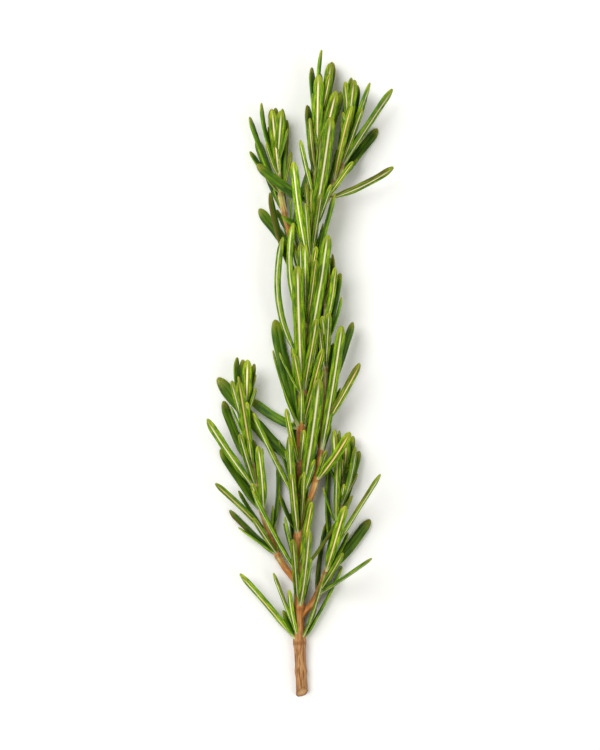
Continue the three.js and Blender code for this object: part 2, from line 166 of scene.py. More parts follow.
# Leaves that the photograph shows plainly. Those of a pair stand in place of the drawn values:
# pair, half, azimuth, spread, bow, length, width and roll
SEEN_KEYS = ("azimuth", "spread", "bow", "length", "width", "roll")
SEEN_ON_STEM = {
    (3, 1): (118, 11, 4, 31, 3.2, -20),
    (4, 0): (50, 11, 4, 37.5, 3.7, -38),
    (5, 0): (305, 12, 4, 30, 3.1, 0),
    (5, 1): (190, 46, 6, 36, 3.9, -70),
    (6, 0): (215, 18, 3, 34, 3.8, -45),
    (6, 1): (335, 13, 4, 28, 2.8, -20),
    (7, 1): (112, 12, 3, 39, 3.6, 22),
    (8, 0): (170, 12, 27, 37, 3.1, 22),
    (8, 1): (50, 10.5, 4, 38, 3.2, -40),
    (9, 0): (135, 9, 3, 25, 2.4, 30),
    (9, 1): (160, 10, 20, 31, 2.7, 20),
    (11, 1): (150, 14, 5, 30, 2.9, 30),
    (12, 0): (60, 10, 3, 34, 3.5, -28),
    (12, 1): (190, 62, 5, 10, 2, -50),
    (13, 0): (180, 58, 8, 20, 3.1, -75),
}
SEEN_ON_SIDE = {
    (1, 0): (90, 5, 4, 38, 3.2, 5),
    (4, 0): (75, 9, 3, 17, 2.2, 0),
}

# Leaves seen in the tufts of the main stem: pair, then the same values
SEEN_IN_TUFTS = [
    (4, 5, 21, 3, 24, 2.5, -70),
    (6, 186, 62, 8, 17.5, 2.8, -75),
    (6, 100, 9, 3, 12, 1.9, 0),
    (7, 176, 30, 4, 14, 1.7, 10),
    (7, 10, 15, 3, 17.5, 1.9, -40),
    (8, 165, 36, 4, 8.5, 1.6, 0),
]

# Side shoots: the pair of leaves they grow beside, the way they leave the stem and lean,
# how far they reach, how high the tip lies, how many pairs they bear and the leaves seen
SIDE_KEYS = ("above", "azimuth", "leave", "lean", "reach", "height", "whorls", "seen")
SIDE_SHOOTS = [
    (1, -6, 42, 15, 40, 4.5, 7, {}),
    (2, 184, 40, 14, 52, 5, 9, {}),
    (4, 12, 24, 3.5, 62, 8.5, 9, SEEN_ON_SIDE),
    (11, 205, 42, 18, 34, 4.5, 7, {}),
    (13, -16, 42, 17, 24, 6.5, 6, {}),
]
SIDE_RADIUS = 0.85
SIDE_TIP_RADIUS = 0.5
SIDE_HANDLE = 0.25
SIDE_FIRST = 0.14
SIDE_LAST = 0.97
SIDE_LEAF_LENGTH = 26
SIDE_LEAF_WIDTH = 2.9
SIDE_TUFTS = 1
SIDE_TUFT_EXTRA = 1.5

# Half of a leaf's section, from the midrib of the underside round the rolled margin to the
# furrow of the upper side: across, where 1 is the margin, and depth, where the underside is 1
HALF_SECTION = [
    (0, 0.8), (0.1, 0.76), (0.17, 0.55), (0.24, 0.26), (0.32, 0.24), (0.42, 0.58),
    (0.56, 0.8), (0.74, 0.84), (0.9, 0.62), (0.985, 0.28), (1, -0.02), (0.96, -0.34),
    (0.84, -0.62), (0.64, -0.82), (0.42, -0.92), (0.22, -0.88), (0.08, -0.76), (0, -0.7),
]
PLAIN_DEPTH = 0.86
LARGE_LEAF = 18
LARGE_LEAF_ROWS = (24, 9)
SMALL_LEAF_ROWS = (9, 6)
TIP_TURN = 86
FOOT_OPENING = 0.1
FOOT_NARROWING = 0.62
TIP_CLOSING = 0.8
TIP_CLOSED = 0.15

# Marks that a leaf's paint reads: where the midrib, its groove and the rolled margin lie
RIB_EDGE = (0.12, 0.21)
GROOVE_PLACE = 0.25
GROOVE_HALF = 0.14
ROLL_EDGE = (-0.5, 0.15)

# How each leaf differs: the length of its margin's waves, their lag across the blade and how
# far its grain is moved, in millimetres, and how much a seen leaf keeps of its age and warmth
LOOKS_SEED = 2203
WAVE_LENGTH = (1.2, 1.6)
WAVE_PHASE = (0, FULL_TURN)
WAVE_LAG = 1.5
GRAIN_DRIFT = (0, 60)
SEEN_AGE_SHARE = 0.35

# Fine shape of the stems: rings and sides, ridges of the young stem, fibres of the bark, the
# cushion that runs down from the foot of each leaf and the flare where a side shoot starts
MAIN_STEM_SIDES = 48
SIDE_STEM_SIDES = 24
STEM_STEP = 0.5
YOUNG_RIDGES = 4
YOUNG_RIDGE_DEPTH = 0.08
YOUNG_ROUGHNESS = 0.6
COARSE_FIBRE = 0.8
COARSE_STRETCH = 8
FINE_FIBRE = 0.3
FINE_STRETCH = 6
FINE_SHARE = 0.4
BASE_FADE = 0.05
TIP_ROUNDING = 1.4
TIP_LEAST = 0.06
CUSHION_HEIGHT = 0.36
CUSHION_HALF_TURN = 24
CUSHION_LENGTH = 5
CUSHION_SHARPNESS = 0.5
FOOT_FLARE = 0.35
FOOT_FLARE_LENGTH = 1.6
SIDE_AGE = 0.6

# The cut face: how far up the bark the cut may reach, where the bark settles again behind it,
# and its rings, from the rim inwards: share of the rim and depth below the cut in millimetres
CUT_REACH = 0.035
CUT_TRIALS = 141
CUT_BLEND = 0.07
CUT_RINGS = [
    (0.985, 0), (0.95, 0.02), (0.91, 0.09), (0.87, 0.03), (0.72, 0), (0.55, 0.02),
    (0.38, 0), (0.24, 0.04), (0.15, 0.12),
]
CUT_WOOD = 0.9
CUT_FIBRES = 17
CUT_FIBRE_DEPTH = 0.025

# Felt: fine hairs on the young stems and in the grooves under the leaves
FELT_SEED = 87
FELT_FROM = 0.3
FELT_LEAN = 0.8
FELT_SINK = 0.05
FELT_SIDES = 3
FELT_FACES = [(0, 1, 3), (1, 2, 3), (2, 0, 3), (2, 1, 0)]
FELT_LEAF_SHARES = (0.03, 0.9)
FELT_LEAF_REACH = 0.33
FELT_LEAF_DEPTH = 0.3
FELT_LEAF_LENGTH = 0.6
FELT_LEAF_SHORTEST = 0.5
FELT_STRAY_LENGTH = 0.4
OFF_UPRIGHT = 0.01

# Noises in the paints: how many patches there are in a millimetre and, where they are drawn
# out along the leaf or stem, the part of that which is left lengthwise. Then how finely each
# noise is broken up
CLOUDS, CLOUD_STRETCH = 0.45, 0.25
STREAKS, STREAK_STRETCH = 2.6, 0.12
PORES = 3.2
PIMPLES = 7
PATCHES, PATCH_STRETCH = 0.5, 0.3
FIBRES, FIBRE_STRETCH = 2.4, 0.1
THREADS, THREAD_STRETCH = 7, 0.07
WOOD_SPECKS = 9
PLAIN_DETAIL, FINE_DETAIL, FIBRE_DETAIL = 2, 3, 4

# Where each colour of a leaf comes in: the values it rises between and, if it doesn't rise
# from nothing to all, how strongly it shows before and after. Then its roughness and bumps
UPPER_LIGHT = (0.38, 0.64)
UPPER_STREAKS = (0.5, 0.75, 0, 0.5)
MARGIN_LIGHT = (0.36, 0.66)
MARGIN_PORES = (0.5, 0.68, 0, 0.6)
# The furrow's deep green is painted shade in the sunken crease along the middle of the upper side
PAINTED_FURROW_SHADE = (0.02, 0.2, 0.7, 0)
RUST = (0.5, 0.72, 0.1, 1)
RUST_BY_AGE = 0.3
RIB_AGEING = (1.0, 1.5)
PALE_FOOT = (0, 0.16, 1, 0)
PALE_FOOT_SHARE = 0.75
OCHRE_TIP = (0.3, 0.7, 0.15, 0.75)
OUTER_MARGIN = (0.72, 0.98)
WORN = (0.86, 1.1, 0, 0.75)
WORN_BY_AGE, WORN_BY_MARGIN, WORN_BY_CLOUDS = 0.62, 0.2, 0.55
TONES = (-1, 1, 0.8, 1.22)
MARGIN_ROUGHNESS = 0.56
PORE_HEIGHT, PIMPLE_HEIGHT = 0.7, 0.5

# The same for the bark, the young stem and the cut wood
ROSY_PATCHES = (0.35, 0.65)
DARK_FIBRES = (0.5, 0.7, 0, 0.7)
DARK_THREADS = (0.52, 0.68, 0, 0.55)
PALE_THREADS = (0.3, 0.46, 0.6, 0)
GREEN_FIBRES = (0.4, 0.7)
RIPENESS = (0.84, 1.16)
RIPE_BY_PATCHES, RIPE_BY_CUSHIONS = 0.3, 0.45
OLD_FIBRES = (0.36, 0.62)
OLD_THREADS = (0.5, 0.7, 0, 0.6)
OLD_SHARE = 0.85
DARK_NODES = (0.6, 1, 0, 0.5)
WOOD_RINGS = (0.3, 0.85, 0.05, 0.8)
DARK_SPECKS = (0.5, 0.7, 0, 0.5)
WOOD_RIM = (0.86, 0.93)
PITH = (0.12, 0.3, 0.8, 0)
THREAD_HEIGHT = 0.5
YOUNG_BARK_ROUGHNESS, OLD_BARK_ROUGHNESS = 0.62, 0.85

# Noises of the felt and the floor, in patches to a metre, and the depth of their grain
FELT_PATCHES = 150
FELT_GRAIN = 4000
FELT_GRAIN_DEPTH = 0.01
WARM_HAIRS = (0.4, 0.6)
FLOOR_CLOUDS = 3
FLOOR_GRAIN = 900
FLOOR_GRAIN_DEPTH = 0.02
FLOOR_SHADING = (0.3, 0.7, 0, 0.05)
DULL = 0.8

# Stage: the camera looks straight down, as the photograph does. Each lamp has a place in metres
# and a share of the lamp power
SENSOR_SIZE = 36
LENS = 100
CLIP_START = 0.01
FLOOR_SIZE = 4
FLOOR_SQUARES = 4
FLOOR_DEPTH = 0.00003
LAMP_SIZE = 0.7
LAMP_PLACES = [((-0.42, 0.35, 0.75), 1.0), ((0.6, -0.3, 0.65), 0.35)]

# Random draws that come out the same each time
SEED = 4711
DRAW_FACTOR = 1664525
DRAW_STEP = 1013904223
DRAW_RANGE = 4294967296
CURVE_STEP = 0.0001
LENGTH_DIVISIONS = 200


class Draw:
    """Random numbers from 0 to 1 that come out the same each time."""

    def __init__(self, seed):
        self.state = seed

    def __call__(self):
        self.state = (self.state * DRAW_FACTOR + DRAW_STEP) % DRAW_RANGE
        return self.state / DRAW_RANGE

    def either(self, size):
        return (2 * self() - 1) * size

    def within(self, lowest, span):
        return lowest + span * self()


def mix(start, end, share):
    return start + (end - start) * share


def smooth_step(start, end, value):
    share = np.clip((np.asarray(value, float) - start) / (end - start), 0, 1)
    return share * share * (3 - 2 * share)


def unit(vectors):
    return vectors / np.linalg.norm(vectors, axis=-1, keepdims=True)


# Curves

def bezier_points(points, shares):
    """Points on a curve with three or four control points, at each share of its length."""
    shares = np.atleast_1d(np.asarray(shares, float))[:, None]
    rest = 1 - shares
    if len(points) == 3:
        a, b, c = points
        return rest * rest * a + 2 * rest * shares * b + shares * shares * c
    a, b, c, d = points
    return (
        rest**3 * a
        + 3 * rest**2 * shares * b
        + 3 * rest * shares**2 * c
        + shares**3 * d
    )


def bezier_tangents(points, shares):
    shares = np.atleast_1d(np.asarray(shares, float))
    before = np.maximum(shares - CURVE_STEP, 0)
    after = np.minimum(shares + CURVE_STEP, 1)
    return unit(bezier_points(points, after) - bezier_points(points, before))


def bezier_length(points):
    corners = bezier_points(points, np.linspace(0, 1, LENGTH_DIVISIONS + 1))
    return float(np.linalg.norm(np.diff(corners, axis=0), axis=1).sum())


# The plan of the sprig, in millimetres from the cut end

class Shoot:
    """A stem with its curve, girth and the rule by which its leaves are set."""

    def __init__(self, path, **values):
        self.path = np.array(path, float)
        self.length = bezier_length(self.path)
        for name, value in values.items():
            setattr(self, name, value)

    def frames(self, shares):
        centres = bezier_points(self.path, shares)
        along = bezier_tangents(self.path, shares)
        side = unit(np.cross(along, UP))
        return centres, along, side, np.cross(side, along)

    def frame(self, share):
        return tuple(values[0] for values in self.frames([share]))

    def girth(self, share):
        return mix(self.radius, self.tip_radius, share)

    def pair_share(self, whorl):
        step = whorl / (self.whorls - 1)
        return mix(self.first, self.last, 1 - (1 - step) ** CROWDING)

    def pair_azimuth(self, whorl, half):
        return self.turn + (QUARTER_TURN + SPIRAL) * whorl + HALF_TURN * half


def outward(side, up, azimuth):
    """The way that points out of a stem, by its turn round the stem in degrees."""
    angle = azimuth * DEGREE
    return side * math.cos(angle) + up * math.sin(angle)


def slanted(out, along, angle):
    """The way that leaves a stem at an angle to it."""
    return out * math.sin(angle) + along * math.cos(angle)


def make_main_shoot():
    return Shoot(
        STEM_PATH,
        **MAIN_STEM,
        seen=SEEN_ON_STEM,
        radius=STEM_RADIUS,
        tip_radius=STEM_TIP_RADIUS,
        start=BASE_SHARE,
        bridge=0,
        in_tufts=SEEN_IN_TUFTS,
    )


def make_side_shoot(parent, plan, index):
    share = parent.pair_share(plan["above"])
    centre, along, side, up = parent.frame(share)
    out = outward(side, up, plan["azimuth"])
    stand = parent.girth(share) * (1 + NODE_SWELLING) + SOLID_GAP + SIDE_RADIUS
    foot = centre + out * stand
    leave = slanted(out, along, plan["leave"] * DEGREE)
    tip = foot + slanted(out, along, plan["lean"] * DEGREE) * plan["reach"]
    tip[2] = plan["height"]
    handle = plan["reach"] * SIDE_HANDLE
    return Shoot(
        [foot, foot + leave * handle, tip - along * handle, tip],
        name=f"side_shoot_{index + 1}",
        whorls=plan["whorls"],
        seen=plan["seen"],
        radius=SIDE_RADIUS,
        tip_radius=SIDE_TIP_RADIUS,
        start=0,
        first=SIDE_FIRST,
        last=SIDE_LAST,
        turn=plan["azimuth"] + QUARTER_TURN / 2,
        leaf_length=SIDE_LEAF_LENGTH,
        leaf_width=SIDE_LEAF_WIDTH,
        tufts=SIDE_TUFTS,
        tuft_extra=SIDE_TUFT_EXTRA,
        bridge=stand / math.sin(plan["leave"] * DEGREE),
        in_tufts=[],
    )


def length_share(step):
    if step < LENGTH_PEAK:
        return mix(LENGTH_AT_BASE, 1, step / LENGTH_PEAK)
    return mix(1, LENGTH_AT_TIP, (step - LENGTH_PEAK) / (1 - LENGTH_PEAK))


def pressed(spread, azimuth):
    """Leaves that point up or down lie closer to the stem than those at its sides."""
    return spread * (1 - PRESSED_FLAT * abs(math.sin(azimuth * DEGREE)))


def plan_pairs(shoot, draw):
    plans = []
    for whorl in range(shoot.whorls):
        step = whorl / (shoot.whorls - 1)
        for half in range(2):
            azimuth = shoot.pair_azimuth(whorl, half) + draw.either(STRAY_AZIMUTH)
            spread = SPREAD_TIP + SPREAD_EXTRA * (1 - step) ** SPREAD_POWER
            plan = {
                "shoot": shoot,
                "share": shoot.pair_share(whorl),
                "azimuth": azimuth,
                "spread": pressed(spread, azimuth) + draw.either(STRAY_SPREAD),
                "bow": MEAN_BOW + draw.either(STRAY_BOW),
                "length": shoot.leaf_length * length_share(step) * (1 + draw.either(STRAY_LENGTH)),
                "width": shoot.leaf_width * (1 + draw.either(STRAY_WIDTH)),
                "roll": draw.either(STRAY_ROLL),
                "seen": (whorl, half) in shoot.seen,
            }
            if plan["seen"]:
                plan.update(zip(SEEN_KEYS, shoot.seen[whorl, half]))
            plans.append(plan)
    return plans


def plan_seen_tufts(shoot):
    plans = []
    for whorl, *values in shoot.in_tufts:
        share = shoot.pair_share(whorl) + TUFT_RISE
        plans.append({"shoot": shoot, "share": share, "seen": True, **dict(zip(SEEN_KEYS, values))})
    return plans


def plan_bud(shoot, draw):
    plans = []
    for pair, (length_part, spread) in enumerate(BUD_PAIRS):
        for half in range(2):
            plans.append({
                "shoot": shoot,
                "share": BUD_SHARE,
                "azimuth": shoot.pair_azimuth(shoot.whorls + pair, half),
                "spread": spread,
                "bow": BUD_BOW,
                "length": shoot.leaf_length * length_part * (1 + draw.either(STRAY_LENGTH)),
                "width": shoot.leaf_width * BUD_WIDTH,
                "roll": draw.either(BUD_ROLL),
                "seen": False,
            })
    return plans


def plan_tufts(shoot, draw):
    plans = []
    for whorl in range(math.ceil(shoot.whorls * TUFT_REACH)):
        step = whorl / (shoot.whorls - 1)
        for half in range(2):
            count = shoot.tufts + math.floor(draw() * shoot.tuft_extra)
            for leaf in range(count):
                hand = 1 if leaf % 2 == 0 else -1
                azimuth = shoot.pair_azimuth(whorl, half) + hand * draw.within(*TUFT_AZIMUTH)
                plans.append({
                    "shoot": shoot,
                    "share": shoot.pair_share(whorl) + TUFT_RISE * (leaf + 1),
                    "azimuth": azimuth,
                    "spread": pressed(draw.within(*TUFT_SPREAD), azimuth),
                    "bow": draw.within(0, TUFT_BOW),
                    "length": shoot.leaf_length * length_share(step) * draw.within(*TUFT_LENGTH),
                    "width": shoot.leaf_width * draw.within(*TUFT_WIDTH),
                    "roll": draw.either(TUFT_ROLL),
                    "seen": False,
                })
    return plans


class Leaf:
    """One leaf in place: its curve, its girth and the way its blade faces."""

    def __init__(self, plan, nudge):
        turned, opened, shortened = nudge
        shoot = plan["shoot"]
        centre, along, side, up = shoot.frame(plan["share"])
        out = outward(side, up, plan["azimuth"] + turned)
        spread = max(plan["spread"] + opened, LEAST_SPREAD) * DEGREE
        bowed = spread + plan["bow"] * DEGREE
        self.shoot = shoot
        self.seen = plan["seen"]
        self.share = plan["share"]
        self.azimuth = plan["azimuth"] + turned
        self.length = plan["length"] * shortened
        self.width = plan["width"]
        self.thickness = max(self.width * LEAF_THICKNESS_SHARE, LEAF_LEAST_THICKNESS)
        self.roll = plan["roll"] * DEGREE
        foot = centre + out * (shoot.girth(plan["share"]) * LEAF_FOOT_SINK)
        bend = foot + slanted(out, along, bowed) * (self.length / 2)
        tip = foot + slanted(out, along, spread) * self.length
        self.path = np.array([foot, bend, tip])
        self.across = np.cross(along, out)
        self.tip_share = min(LEAF_TIP_WIDTHS * self.width / self.length, LEAF_TIP_MOST)

    def blade_share(self, shares):
        """The blade's width at each share of its length, as a part of its full width."""
        foot = mix(LEAF_FOOT_SHARE, 1, smooth_step(0, LEAF_FOOT_LENGTH, shares))
        into = np.maximum((shares - 1 + self.tip_share) / self.tip_share, 0)
        return foot * np.sqrt(np.maximum(1 - into * into, 0))

    def frames(self, shares):
        shares = np.asarray(shares, float)
        centres = bezier_points(self.path, shares)
        along = bezier_tangents(self.path, shares)
        across = unit(self.across - along * (along @ self.across)[:, None])
        turn = (self.roll * smooth_step(0, LEAF_TWIST_LENGTH, shares))[:, None]
        across = across * np.cos(turn) + np.cross(along, across) * np.sin(turn)
        under = np.cross(across, along)
        half_width = self.width / 2 * self.blade_share(shares)
        half_thickness = self.thickness / 2 * np.sqrt(self.blade_share(shares))
        least = np.abs(across[:, 2]) * half_width + np.abs(under[:, 2]) * half_thickness
        centres[:, 2] = lift_off_floor(centres[:, 2], least)
        return centres, across, under, half_width, half_thickness


def lift_off_floor(height, least):
    """A leaf pressed against the surface bends along it instead of passing through."""
    return least + FLOOR_SOFTNESS * np.log(1 + np.exp((height - least) / FLOOR_SOFTNESS))


class Room:
    """What already stands round the place where a leaf is to be set."""

    def __init__(self, shoots):
        self.centres = np.zeros((0, 3))
        self.radii = np.zeros(0)
        self.shoots = np.zeros(0, int)
        self.feet = np.zeros(0, bool)
        self.order = {shoot.name: number for number, shoot in enumerate(shoots)}
        for shoot in shoots:
            count = math.ceil(shoot.length)
            shares = mix(shoot.start, 1, np.arange(count + 1) / count)
            radii = shoot.girth(shares) * (1 + NODE_SWELLING)
            self.add(shoot, bezier_points(shoot.path, shares), radii, np.ones(count + 1, bool))

    def add(self, shoot, centres, radii, feet):
        self.centres = np.vstack([self.centres, centres])
        self.radii = np.append(self.radii, radii)
        self.feet = np.append(self.feet, feet)
        self.shoots = np.append(self.shoots, np.full(len(radii), self.order[shoot.name]))

    def crowding(self, shoot, centres, radii, feet):
        """How deep a leaf would run into its own shoot's leaves, and into other shoots."""
        distance = np.linalg.norm(centres[:, None] - self.centres[None], axis=2)
        reach = radii[:, None] + self.radii[None]
        same = np.broadcast_to(self.shoots[None] == self.order[shoot.name], reach.shape)
        blades = same & ~feet[:, None] & ~self.feet[None]
        own = np.where(blades, reach * CLEAR_OWN_SHARE - distance, 0).max()
        other = np.where(same, 0, reach + CLEAR_OTHER_GAP - distance).max()
        return max(own, 0), max(other, 0)


def leaf_samples(leaf):
    shares = (np.arange(CLEAR_SAMPLES) + 1) / CLEAR_SAMPLES
    centres, _, _, half_width, _ = leaf.frames(shares)
    return centres, np.maximum(half_width, leaf.thickness / 2), shares < CLEAR_FOOT


def settle_leaf(plan, room):
    """Turns, opens or shortens a leaf until it has room, or gives nothing."""
    best = None
    least = math.inf
    for nudge in NUDGES:
        leaf = Leaf(plan, nudge)
        samples = leaf_samples(leaf)
        own, other = room.crowding(leaf.shoot, *samples)
        if other == 0 and own < least:
            best = leaf, samples
            least = own
        if least == 0:
            break
    return best


def grow_sprig():
    """The shoots, and all their leaves in place."""
    main = make_main_shoot()
    plans = [dict(zip(SIDE_KEYS, values)) for values in SIDE_SHOOTS]
    shoots = [main, *(make_side_shoot(main, plan, index) for index, plan in enumerate(plans))]
    draw = Draw(SEED)
    leaf_plans = [plan for shoot in shoots for plan in plan_pairs(shoot, draw)]
    leaf_plans += [plan for shoot in shoots for plan in plan_bud(shoot, draw)]
    leaf_plans += [plan for shoot in shoots for plan in plan_tufts(shoot, draw)]
    leaf_plans += [plan for shoot in shoots for plan in plan_seen_tufts(shoot)]
    leaf_plans.sort(key=lambda plan: not plan["seen"])
    room = Room(shoots)
    leaves = []
    for plan in leaf_plans:
        settled = settle_leaf(plan, room)
        if settled:
            leaves.append(settled[0])
            room.add(plan["shoot"], *settled[1])
    return shoots, leaves


@cache
def plan_sprig():
    return grow_sprig()


# Meshes: each piece is shaped in the sprig's millimetres and set down in the frame in metres

def to_frame(points):
    """From the sprig's millimetres to the frame's metres, kept in the box of the solids."""
    return np.clip((points + CUT_END) * MM, BOX_LOW, BOX_HIGH)


def round_turns(count):
    """As many angles as asked for, evenly round a circle."""
    return np.arange(count) / count * FULL_TURN


def add_object(name, data):
    thing = bpy.data.objects.new(name, data)
    bpy.context.scene.collection.objects.link(thing)
    return thing


def tube_faces(rows, sides, first):
    """Faces between rings of points that run round to the right, seen along the tube."""
    row, side = np.meshgrid(np.arange(rows - 1), np.arange(sides), indexing="ij")
    here = first + row * sides
    following = (side + 1) % sides
    corners = [here + side, here + following, here + sides + following, here + sides + side]
    return np.stack([corner.ravel() for corner in corners], axis=1)


def fan_faces(ring, middle, backwards):
    """A cap of triangles from a ring of points to the point in its middle."""
    turned = np.roll(ring, -1)
    ends = (turned, ring) if backwards else (ring, turned)
    return np.stack([*ends, np.full(len(ring), middle)], axis=1)


def band_faces(outer, inner):
    """A band of faces between two rings of points."""
    return np.stack([inner, np.roll(inner, -1), np.roll(outer, -1), outer], axis=1)


class MeshParts:
    """Gathers the points, faces and marks of many leaves or stems into one mesh."""

    def __init__(self):
        self.points = []
        self.faces = []
        self.marks = {}
        self.count = 0

    def add(self, points, faces, **marks):
        self.points.append(points)
        self.faces += [tuple(face) for group in faces for face in group.tolist()]
        for name, values in marks.items():
            self.marks.setdefault(name, []).append(values)
        self.count += len(points)

    def make(self, name, material):
        mesh = bpy.data.meshes.new(name)
        mesh.from_pydata(to_frame(np.vstack(self.points)), [], self.faces)
        for mark, values in self.marks.items():
            layer = mesh.attributes.new(mark, "FLOAT_VECTOR", "POINT")
            layer.data.foreach_set("vector", np.vstack(values).astype(np.float32).ravel())
        mesh.materials.append(material)
        mesh.shade_smooth()
        return add_object(name, mesh)


def settle_piece(piece, slot, *nodes):
    """Ties a piece to the frame: what it moves with and what it stands for, whose solids are
    hidden. The slot is not used.
    """
    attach(piece, BODY)
    if nodes:
        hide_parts(*nodes)


# Shape of the leaves

def leaf_section():
    """The whole section, from the midrib round the right margin and back by the left one."""
    half = np.array(HALF_SECTION, float)
    return np.vstack([half, half[-2:0:-1] * [-1, 1]])


def leaf_rows(leaf):
    """Stations along a leaf, closer together where its tip rounds off."""
    body_rows, tip_rows = LARGE_LEAF_ROWS if leaf.length > LARGE_LEAF else SMALL_LEAF_ROWS
    body = np.linspace(0, 1 - leaf.tip_share, body_rows)
    turn = np.linspace(0, TIP_TURN * DEGREE, tip_rows + 1)[1:]
    return np.append(body, 1 - leaf.tip_share * (1 - np.sin(turn)))


def leaf_relief(leaf, shares):
    """How deep the midrib's groove is: it closes at the foot and near the tip."""
    closing = smooth_step(1 - leaf.tip_share * TIP_CLOSING, 1 - leaf.tip_share * TIP_CLOSED, shares)
    return smooth_step(0, FOOT_OPENING, shares) * (1 - closing)


def with_ends(values):
    """Marks of a ring-by-ring shape, and for the point at each end those of the ring beside it."""
    return np.vstack([values.reshape(-1, 3), values[0].mean(axis=0), values[-1].mean(axis=0)])


def stack_marks(shape, *values):
    return np.stack([np.broadcast_to(value, shape) for value in values], axis=-1)


def add_leaf(parts, leaf, section, wave_depth, draw):
    """One leaf with rolled margins, a midrib below and a furrow above."""
    wave = draw.within(*WAVE_LENGTH)
    phase = draw.within(*WAVE_PHASE)
    drift = draw.within(*GRAIN_DRIFT)
    tone, age, warmth = draw.either(1), draw(), draw()
    if leaf.seen:
        age, warmth = age * SEEN_AGE_SHARE, warmth * SEEN_AGE_SHARE
    shares = leaf_rows(leaf)
    shape = (len(shares), len(section))
    centres, across, under, half_width, half_thickness = leaf.frames(shares)
    side, level = section.T
    relief = leaf_relief(leaf, shares)[:, None]
    plain = PLAIN_DEPTH * np.sqrt(np.maximum(1 - side * side, 0)) * np.sign(level)
    reach = shares[:, None] * leaf.length
    margin = 1 - wave_depth * (1 + np.sin(reach / wave + phase + side * WAVE_LAG)) / 2
    margin = margin * mix(FOOT_NARROWING, 1, smooth_step(0, FOOT_OPENING, shares))[:, None]
    wide = side * margin * half_width[:, None]
    deep = mix(plain, level, relief) * half_thickness[:, None]
    rings = centres[:, None] + across[:, None] * wide[..., None] + under[:, None] * deep[..., None]
    points = np.vstack([rings.reshape(-1, 3), centres[:1], leaf.frames([1])[0]])
    first = parts.count
    last = first + side.size * len(shares)
    ring = np.arange(side.size)
    faces = [
        tube_faces(*shape, first),
        fan_faces(first + ring, last, True),
        fan_faces(last - side.size + ring, last + 1, False),
    ]
    tip = smooth_step(1 - leaf.tip_share, 1, shares)[:, None]
    below = level > 0
    rib = (1 - smooth_step(*RIB_EDGE, np.abs(side))) * below * (1 - tip)
    groove = (1 - smooth_step(0, GROOVE_HALF, np.abs(np.abs(side) - GROOVE_PLACE))) * below * relief
    parts.add(
        points,
        faces,
        face=with_ends(stack_marks(shape, smooth_step(*ROLL_EDGE, level), rib, groove)),
        place=with_ends(stack_marks(shape, side, shares[:, None], tip)),
        looks=np.tile([tone, age, warmth], (len(points), 1)),
        grain=with_ends(stack_marks(shape, wide, deep, reach)) + drift,
    )


def make_leaves(name, shoot, material, wave_depth, draw):
    parts = MeshParts()
    section = leaf_section()
    for leaf in plan_sprig()[1]:
        if leaf.shoot is shoot:
            add_leaf(parts, leaf, section, wave_depth, draw)
    return parts.make(name, material)


# Shape of the stems

def hump(shoot, shares, middle):
    """Rises from 0 to 1 and falls again within a node's length of its middle."""
    away = (np.asarray(shares) - middle) * shoot.length / NODE_HALF_LENGTH
    return np.exp(-away * away)


def swelling(shoot, shares):
    """How far the stem swells at the nearest pair of leaves."""
    nodes = [shoot.pair_share(whorl) for whorl in range(shoot.whorls)]
    return np.max([hump(shoot, shares, node) for node in nodes], axis=0)


def bareness(shoot, shares):
    """1 on the bare woody base of the main stem, 0 from its leaves upwards."""
    if shoot.start == 0:
        return np.zeros_like(shares)
    return 1 - smooth_step(BASE_SHARE, BASE_SHARE + BASE_FADE, shares)


def stem_grain(shoot, shares, angles):
    """Places on the bark in millimetres, round the stem and along it."""
    girth = shoot.girth(np.clip(shares, 0, 1))
    round_stem = [np.cos(angles) * girth, np.sin(angles) * girth]
    return np.stack([*round_stem, shares * shoot.length], axis=-1)


def fibres(grain, size, stretch):
    """Rough lengthwise fibres, as a height from -1 to 1 at each place on the bark."""
    places = grain.reshape(-1, 3) / [size, size, size * stretch]
    heights = [noise.noise(Vector(place)) for place in places]
    return np.array(heights).reshape(grain.shape[:-1])


def cushions(shoot, shares, angles):
    """Ridges that run down the stem from the foot of each leaf, in millimetres of height."""
    height = np.zeros(shares.shape)
    for leaf in plan_sprig()[1]:
        if leaf.shoot is shoot:
            below = (leaf.share - shares) * shoot.length
            turn = (angles - leaf.azimuth * DEGREE + math.pi) % FULL_TURN - math.pi
            ridge = np.exp(-(turn / (CUSHION_HALF_TURN * DEGREE)) ** 2)
            fall = np.exp(-np.maximum(below, 0) / CUSHION_LENGTH)
            rise = smooth_step(-CUSHION_SHARPNESS, CUSHION_SHARPNESS, below)
            size = min(leaf.length / LARGE_LEAF, 1) * CUSHION_HEIGHT
            height = np.maximum(height, size * ridge * fall * rise)
    return height


def base_shape(shoot, shares, angles):
    """The bare base is ridged, swells at the heel and bears one old leaf scar."""
    heel = BASE_HEEL * np.exp(-shares * shoot.length / BASE_HEEL_LENGTH)
    ridge = BASE_RIDGE_DEPTH * np.cos(BASE_RIDGES * angles)
    return heel + NODE_SWELLING * hump(shoot, shares, SCAR_SHARE) + ridge


def stem_radius(shoot, shares, angles, fibre_depth):
    """The stem's radius in millimetres, with nodes, ridges and rough bark."""
    bare = bareness(shoot, shares)
    young = YOUNG_RIDGE_DEPTH * np.cos(YOUNG_RIDGES * angles) * (1 - bare)
    from_foot = np.maximum(shares * shoot.length + shoot.bridge, 0)
    flare = FOOT_FLARE * np.exp(-from_foot / FOOT_FLARE_LENGTH)
    grain = stem_grain(shoot, shares, angles)
    rough = fibres(grain, COARSE_FIBRE, COARSE_STRETCH)
    rough = rough + FINE_SHARE * fibres(grain, FINE_FIBRE, FINE_STRETCH)
    shape = 1 + NODE_SWELLING * swelling(shoot, shares) + young
    shape = shape + (bare * base_shape(shoot, shares, angles) if shoot.start else flare)
    height = cushions(shoot, shares, angles) + fibre_depth * rough * mix(YOUNG_ROUGHNESS, 1, bare)
    return shoot.girth(np.clip(shares, 0, 1)) * shape + height


